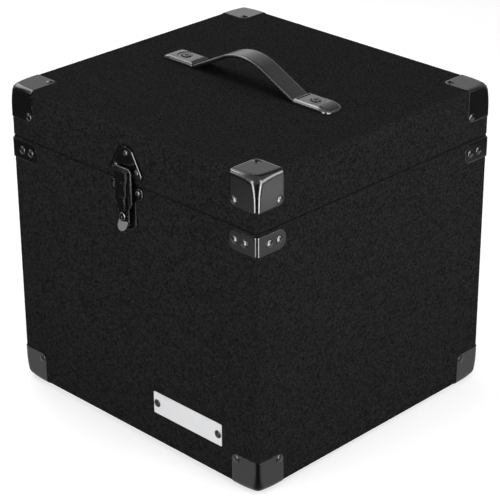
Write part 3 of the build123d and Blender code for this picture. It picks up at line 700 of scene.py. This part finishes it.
latch_gloss = make_enamel("latch_gloss_black", 0.004, 0.11, 0.006)
dressed("latch_strike_plate", "latch_strike", "lid", latch_gloss, 0.3, 30, False)
dressed("latch_base_pressing", "latch_base_plate", "tub", latch_gloss, 0.2, 40)
dressed("latch_lever_plate", "latch_lever", "latch_lever", latch_gloss, 0.4, 20)
finish_node("latch_link", zinc)
finish_node("latch_base_pin", zinc)
finish_node("latch_lever_pin", zinc)


# Key lock: a bright plated plug with a keyway, turning in the lever's ring, and the cam on its
# inner end that catches behind the base plate.

bright = make_steel("bright_plate", 0.24, 0.2)
dressed("lock_plug_turned", "lock_plug", "key_lock", bright, 0.15, 40)
finish_node("lock_cam", zinc)


# Name plate: plain brushed aluminium, riveted at both ends, with no name on it.

def make_plate():
    plate = Paint("brushed_aluminium", Metallic=0.35, Specular_IOR_Level=0.5)
    brush = plate.grain(plate.place((1, 1, 26)), 90, 4, 0.65)
    return plate.surface(
        Base_Color=plate.tint(brush, (0.62, 0.62, 0.63), (0.74, 0.74, 0.75)),
        Roughness=plate.ramp(brush, (0.3, 0.38), (0.7, 0.55)),
        Normal=plate.bump(brush, 0.05 * MM, 0.5),
    )


aluminium = make_plate()
dressed("name_plate_blank", "name_plate", "tub", aluminium, 0.15, 40)


# Strap handle: a springy steel strip moulded into a flat satin strap, arched up from its two
# ends so that a hand fits under it.

strap_low, strap_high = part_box("handle_strap")
strap_width = strap_high.y - strap_low.y
strap_depth = 4.2 * MM
strap_rise = strap_high.z - lid_high.z - strap_depth
crown_radius = 62.0 * MM
foot_radius = 10.0 * MM
arch_angle = math.radians(26)


def strap_path(steps):
    """Places along the strap's middle line and their slopes, from the left end to the right."""
    both = (crown_radius + foot_radius) * math.sin(arch_angle)
    drop = strap_rise - (crown_radius + foot_radius) * (1 - math.cos(arch_angle))
    foot_x = both + drop / math.tan(arch_angle)
    crown_x = crown_radius * math.sin(arch_angle)
    ramp_x = foot_x - foot_radius * math.sin(arch_angle)
    foot_z = strap_depth / 2
    top_z = foot_z + strap_rise
    path = []
    for x in np.linspace(strap_low.x, strap_high.x, steps):
        far = abs(x)
        if far < crown_x:
            slope = math.asin(far / crown_radius)
            z = top_z - crown_radius * (1 - math.cos(slope))
        elif far < ramp_x:
            slope = arch_angle
            z = top_z - crown_radius * (1 - math.cos(slope)) - (far - crown_x) * math.tan(slope)
        elif far < foot_x:
            slope = math.asin((foot_x - far) / foot_radius)
            z = foot_z + foot_radius * (1 - math.cos(slope))
        else:
            slope = 0
            z = foot_z
        path.append((x, z, -math.copysign(slope, x)))
    return path


def swept(path, section):
    """Points and faces of a section swept along the handle, closed at both ends."""
    points = []
    for x, z, slope in path:
        for y, up in section:
            points.append((x - up * math.sin(slope), y, lid_high.z + z + up * math.cos(slope)))
    count = len(section)
    faces = band_faces(0, len(path) - 1, count)
    faces.append(tuple(range(count)))
    faces.append(tuple((len(path) - 1) * count + i for i in range(count)))
    return points, faces


def soft_section(width, depth, edge, crown):
    """A flat strip's section with well rounded edges and a slightly crowned top."""
    step = 1.6 * MM
    section = []
    for side, top in ((1, 1), (-1, 1), (-1, -1), (1, -1)):
        turns = np.linspace(0, math.pi / 2, 7)
        if side * top < 0:
            turns = turns[::-1]
        for turn in turns:
            y = side * (width / 2 - edge + edge * math.cos(turn))
            up = top * (depth / 2 - edge + edge * math.sin(turn))
            if top > 0:
                up -= crown * (2 * y / width) ** 4
            section.append((y, up))
    filled = []
    for (y, up), (next_y, next_up) in zip(section, section[1:] + section[:1]):
        gap = math.hypot(next_y - y, next_up - up)
        parts = max(1, round(gap / step))
        for part in range(parts):
            share = part / parts
            filled.append((y + (next_y - y) * share, up + (next_up - up) * share))
    return filled


def make_vinyl(name, level, roughness, pebble):
    vinyl = Paint(name, Specular_IOR_Level=0.9)
    at = vinyl.place()
    grain = vinyl.node("ShaderNodeTexVoronoi", {"feature": "SMOOTH_F1"},
                       {"Vector": at, "Scale": 1500.0, "Smoothness": 0.6})
    cloud = vinyl.grain(at, 60, 4, 0.6)
    return vinyl.surface(
        Base_Color=vinyl.tint(cloud, (level * 0.85,) * 3, (level * 1.15,) * 3),
        Roughness=vinyl.ramp(cloud, (0.3, roughness * 0.9), (0.7, roughness * 1.1)),
        Normal=vinyl.bump(grain, pebble * MM, 0.5),
    )


strap_vinyl = make_vinyl("satin_strap_vinyl", 0.007, 0.27, 0.05)
section = soft_section(strap_width, strap_depth, 1.7 * MM, 0.12 * MM)
points, faces = swept(strap_path(141), section)
strap = plain_object("handle_strap_moulding", points, faces, strap_vinyl)
stand_in(strap, "handle_strap", "lid")
finish_node("handle_core", zinc)


# Handle caps: plastic end caps screwed down over the strap's ends, each with a sunken field and a
# well for its screw, a crossbar at the mouth and a nose that falls away to the lid.

cap_low, cap_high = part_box("handle_cap_right")
cap_length = cap_high.x - cap_low.x
cap_half = (cap_high.y - cap_low.y) / 2
cap_height = 6.6 * MM
nose_length = 14.5 * MM
nose_drop = 4.6 * MM
nose_radius = (nose_length**2 + nose_drop**2) / (2 * nose_drop)
cap_edge = 4.2 * MM
cap_plan = 7.0 * MM
seat_start = 5.0 * MM
field_half = 10.4 * MM
field_depth = 0.5 * MM
field_groove = 0.6 * MM
well_radius = 6.6 * MM
well_depth = 0.8 * MM
ring_radius = 5.7 * MM
ring_depth = 0.45 * MM
step_width = 0.5 * MM
screw_middle = 21.0 * MM
mouth_edge = 0.8 * MM
base_level = 0.1 * MM
strap_clearance = 0.3 * MM
room_edge = 1.9 * MM
room_length = 6.0 * MM
cap_plastic = make_vinyl("satin_cap_plastic", 0.011, 0.22, 0.02)


def cap_top(x):
    past = np.clip(x - (cap_length - nose_length), 0, nose_length)
    return cap_height - nose_radius + np.sqrt(nose_radius**2 - past**2)


def sunk(distance, edge):
    """1 inside an edge and 0 outside it, with a smooth step between."""
    share = np.clip((edge - distance) / step_width, 0, 1)
    return share * share * (3 - 2 * share)


def scored(distance, edge):
    """1 along a line at an edge, falling smoothly to 0 at both sides."""
    return np.exp(-(((distance - edge) / step_width) ** 2))


def moulded_cap(name, node, hand):
    columns = 160
    rows = 96
    walls = 9
    u = np.linspace(0, 1, columns + 1)
    v = np.linspace(-1, 1, rows + 1)
    loop = [(a, -1) for a in u[:-1]] + [(1, b) for b in v[:-1]]
    loop += [(a, 1) for a in u[:0:-1]] + [(0, b) for b in v[:0:-1]]
    points = [(a * cap_length, b * cap_half, cap_top(a * cap_length)) for a in u for b in v]
    faces = grid_faces(0, columns, rows)
    start = len(points)
    count = len(loop)
    for level in np.linspace(1, 0, walls + 1):
        points += [(a * cap_length, b * cap_half, cap_top(a * cap_length) * level) for a, b in loop]
    faces += band_faces(start, walls, count)
    faces.append(tuple(start + walls * count + i for i in range(count)))
    points = np.array(points)

    def distance(p):
        side = np.abs(p[:, 1]) - cap_half
        plan = np.maximum(rounded(side, p[:, 0] - cap_length, cap_plan), -p[:, 0])
        mouth = rounded(side, -p[:, 0], mouth_edge)
        plan = np.maximum(plan, mouth)
        top = (p[:, 2] - cap_top(p[:, 0])) * 0.9
        return rounded(plan, top, np.minimum(cap_edge, 0.8 * cap_top(p[:, 0])))

    top = points[:, 2] > base_level
    points[top] = settle(points[top], distance, 18)
    base = ~top
    flat = points[base].copy()
    flat[:, 2] = base_level
    points[base, :2] = settle(flat, distance, 18)[:, :2]
    from_screw = np.hypot(points[:, 0] - screw_middle, points[:, 1])
    round_end = np.hypot(np.maximum(points[:, 0] - screw_middle, 0), points[:, 1])
    field_edge = np.maximum(round_end, field_half - points[:, 0] + seat_start)
    upper = points[:, 2] > 0.7 * cap_height
    behind_nose = points[:, 0] < 0.7 * cap_length
    sink = sunk(field_edge, field_half) * field_depth + sunk(from_screw, well_radius) * well_depth
    sink += scored(field_edge, field_half) * behind_nose * field_groove
    sink += scored(from_screw, ring_radius) * ring_depth
    points[upper, 2] -= sink[upper]
    points[:, 0] = (points[:, 0] + cap_low.x) * hand
    points[:, 2] += lid_high.z
    made = plain_object(name, points, faces, cap_plastic)
    spare = 2 * strap_clearance
    room = soft_section(strap_width + spare, strap_depth + spare, room_edge, 0)
    ends = [place for place in strap_path(281) if place[0] * hand > cap_low.x - room_length]
    room_points, room_faces = swept(ends, room)
    cutter = plain_object("strap_room", room_points, room_faces, cap_plastic)
    cut = made.modifiers.new("mouth", "BOOLEAN")
    cut.object = cutter
    cut.solver = "MANIFOLD"
    bake(made)
    bpy.data.objects.remove(cutter)
    shade(made, 40)
    stand_in(made, node, "lid")


moulded_cap("handle_cap_left_moulding", "handle_cap_left", -1)
moulded_cap("handle_cap_right_moulding", "handle_cap_right", 1)


# Handle screws and their flanged nuts: black pan heads with a cross recess, and zinc-plated nuts
# let up into the underside of the lid board.

dressed("handle_screw_pair", "handle_screws", "lid", rivet_enamel, 0.12, 50)
finish_node("handle_nuts", zinc)


# Floor, light and camera: a pale studio sweep, soft lamps to both sides, above and behind, and a
# long lens. The lamps named glow show only as reflections, and so does the floor's own glow: painted
# pools of light and painted shade, seen only in reflections.

diagonal = 0.707


def make_floor():
    floor = Paint("pale_floor", Roughness=0.9, Specular_IOR_Level=0.0)
    seen = floor.node("ShaderNodeLightPath", output="Is Camera Ray")
    mirrored = floor.node("ShaderNodeLightPath", output="Is Glossy Ray")
    spot = floor.node("ShaderNodeTexCoord", output="Object")
    x, y, _ = floor.axes(spot)
    near_corner = (0.182, -0.175)
    sweep_level = 0.76
    right_level = 10.0
    left_level = 6.5
    beside_level = 1.6
    least_level = 0.04

    def pool(centre, direction, reach, spread):
        """A painted pool of light in one direction from a centre, in degrees, fading over its reach
        and spread.
        """
        turn = math.radians(direction)
        out = (x - centre[0]) * math.cos(turn) + (y - centre[1]) * math.sin(turn)
        aside = (y - centre[1]) * math.cos(turn) - (x - centre[0]) * math.sin(turn)
        return floor.fade(out, *reach) * floor.fade(abs(aside), *spread)

    radius = floor.node("ShaderNodeVectorMath", {"operation": "LENGTH"}, {0: spot}, 1)
    near = floor.fade(radius, 0.90, 0.80)
    # Painted shade: in reflections the floor's glow is dimmed in front of the case and to its left,
    # most of all furthest to the left.
    painted_shade_strength = floor.fade(x - (y + 0.18) * 0.99, 0.11, 0.06) * 0.64 + 0.36
    painted_shade_front = floor.fade(0 - y - 0.18, 0.12, 0.28) * floor.fade(0 - x, -0.05, 0.05) * painted_shade_strength
    right = pool(near_corner, 4, (0.26, 0.40), (0.17, 0.09))
    left = pool(near_corner, -94, (0.38, 0.56), (0.17, 0.09))
    beside = pool((0.72, 0.36), 45, (-0.14, 0.02), (0.14, 0.04))
    forward = (x - near_corner[0] - y + near_corner[1]) * diagonal
    aside = (x - near_corner[0] + y - near_corner[1]) * diagonal
    open_side = floor.fade(abs(aside) - forward * 0.9, -0.01, 0.03)
    # Painted light: in reflections only, the floor glows near the case and in pools to the right, the
    # left and beside it. It is no lamp.
    glow = near * open_side * (1 - painted_shade_front) * sweep_level
    glow += right * right_level + left * left_level + beside * beside_level + least_level
    reflected = floor.node("ShaderNodeEmission", {}, {"Strength": glow})
    floor.surface(
        Base_Color=(0.50, 0.50, 0.50, 1),
        Emission_Color=(1.0, 1.0, 1.0, 1),
        Emission_Strength=seen * 0.60,
    )
    plain = Value(floor, floor.shader.outputs[0])
    whole = floor.node("ShaderNodeMixShader", {}, {0: mirrored, 1: plain, 2: reflected})
    floor.feed(floor.tree.nodes["Material Output"], {"Surface": whole})
    return floor.material


floor_half = 6.0
floor = plain_object("studio_floor", [
    (-floor_half, -floor_half, 0), (floor_half, -floor_half, 0),
    (floor_half, floor_half, 0), (-floor_half, floor_half, 0),
], [(0, 1, 2, 3)], make_floor(), smooth=False)


def light_world():
    """White to the camera, a dim fill light, and in reflections a pale back wall and ceiling."""
    world = bpy.data.worlds.new("studio")
    bpy.context.scene.world = world
    world.use_nodes = True
    sky = Nodes(world.node_tree)
    wall_level = 0.66
    ceiling_level = 0.8
    least_level = 0.05
    fill_level = 0.40
    x, y, up = sky.axes(sky.node("ShaderNodeTexCoord", output="Generated"))
    behind = y * diagonal - x * diagonal
    wall = sky.fade(behind, 0.25, 0.65) * sky.fade(up, 0.84, 0.58)
    ceiling = sky.fade(up, 0.20, 0.45) * sky.fade(behind, 0.36, 0.12)
    reflected = sky.sum("MAXIMUM", wall * wall_level, ceiling * ceiling_level) + least_level
    seen = sky.node("ShaderNodeLightPath", output="Is Camera Ray")
    mirrored = sky.node("ShaderNodeLightPath", output="Is Glossy Ray")
    level = seen + (1 - seen - mirrored) * fill_level + mirrored * reflected
    sky.feed(sky.tree.nodes["Background"], {"Color": (1, 1, 1, 1), "Strength": level})


light_world()


def soft_lamp(name, place, target, width, height, brightness, lights=True, mirrored=True):
    """A soft rectangular lamp; brightness 1 is as bright as white paper fully lit."""
    data = bpy.data.lights.new(name, "AREA")
    data.shape = "RECTANGLE"
    data.size = width
    data.size_y = height
    data.energy = brightness * math.pi * width * height
    lamp = bpy.data.objects.new(name, data)
    bpy.context.scene.collection.objects.link(lamp)
    lamp.location = place
    away = Vector(place) - Vector(target)
    lamp.rotation_mode = "QUATERNION"
    lamp.rotation_quaternion = away.to_track_quat("Z", "Y")
    lamp.visible_camera = False
    lamp.visible_diffuse = lights
    lamp.visible_glossy = mirrored


soft_lamp("strip_left", (0.03, -1.02, 0.46), (0.1, 0, 0.46), 0.40, 0.90, 5.0, mirrored=False)
soft_lamp("strip_right", (1.02, 0, 0.46), (0, 0, 0.46), 0.40, 0.90, 5.0, mirrored=False)
soft_lamp("glow_left", (0.1416, -0.7187, 0.40), (0.18, -0.17, 0.40), 0.27, 0.70, 12.0, lights=False)
soft_lamp("glow_right", (0.7287, -0.1316, 0.46), (0.18, -0.17, 0.46), 0.27, 0.82, 13.0, lights=False)
soft_lamp("glow_beside", (0.655, 0.18, 0.47), (0.18, -0.17, 0.42), 0.34, 0.34, 9.0, lights=False)
soft_lamp("glow_left_wing", (-0.03, -0.69, 0.46), (0.18, -0.17, 0.42), 0.16, 0.30, 7.0, lights=False)
soft_lamp("glow_far_left", (-1.60, -2.0, 1.05), (0.1, -0.17, 0.5), 0.55, 1.5, 4.0, lights=False)
soft_lamp("glow_behind", (-0.53, 0.53, 0.58), (-0.18, 0.18, 0.40), 0.30, 0.26, 0.42, lights=False)
soft_lamp("glow_upper_strip", (-0.98, -0.79, 1.50), (0.1, -0.17, 0.34), 0.40, 0.30, 16.0, lights=False)
soft_lamp("glow_upper", (-1.42, -0.12, 1.52), (0, 0, 0.3), 1.2, 1.3, 3.4, lights=False)
soft_lamp("bank_right", (1.05, 0.75, 0.5), (0, 0, 0.4), 0.8, 1.0, 1.6, mirrored=False)
soft_lamp("upper_left", (-1.35, 0.25, 1.6), (0, 0, 0.3), 1.1, 1.1, 3.6, mirrored=False)
soft_lamp("overhead", (0.2, -0.2, 2.2), (0, 0, 0.3), 1.2, 1.2, 2.3, mirrored=False)

camera_data = bpy.data.cameras.new("camera")
camera_data.lens = 141.19
camera_data.sensor_width = 36.0
camera_data.clip_start = 0.1
camera_data.clip_end = 50.0
camera = bpy.data.objects.new("camera", camera_data)
bpy.context.scene.collection.objects.link(camera)
camera.location = (1.3553, -1.3686, 1.0861)
rightwards = Vector((0.71208, 0.70208, -0.00520))
upwards = Vector((-0.30202, 0.31298, 0.90046))
backwards = Vector((0.63382, -0.63963, 0.43491))
camera.rotation_mode = "QUATERNION"
turn = Matrix((rightwards, upwards, backwards)).transposed()
camera.rotation_quaternion = turn.to_quaternion()
bpy.context.scene.camera = camera

scene = bpy.context.scene
scene.view_settings.view_transform = "Standard"
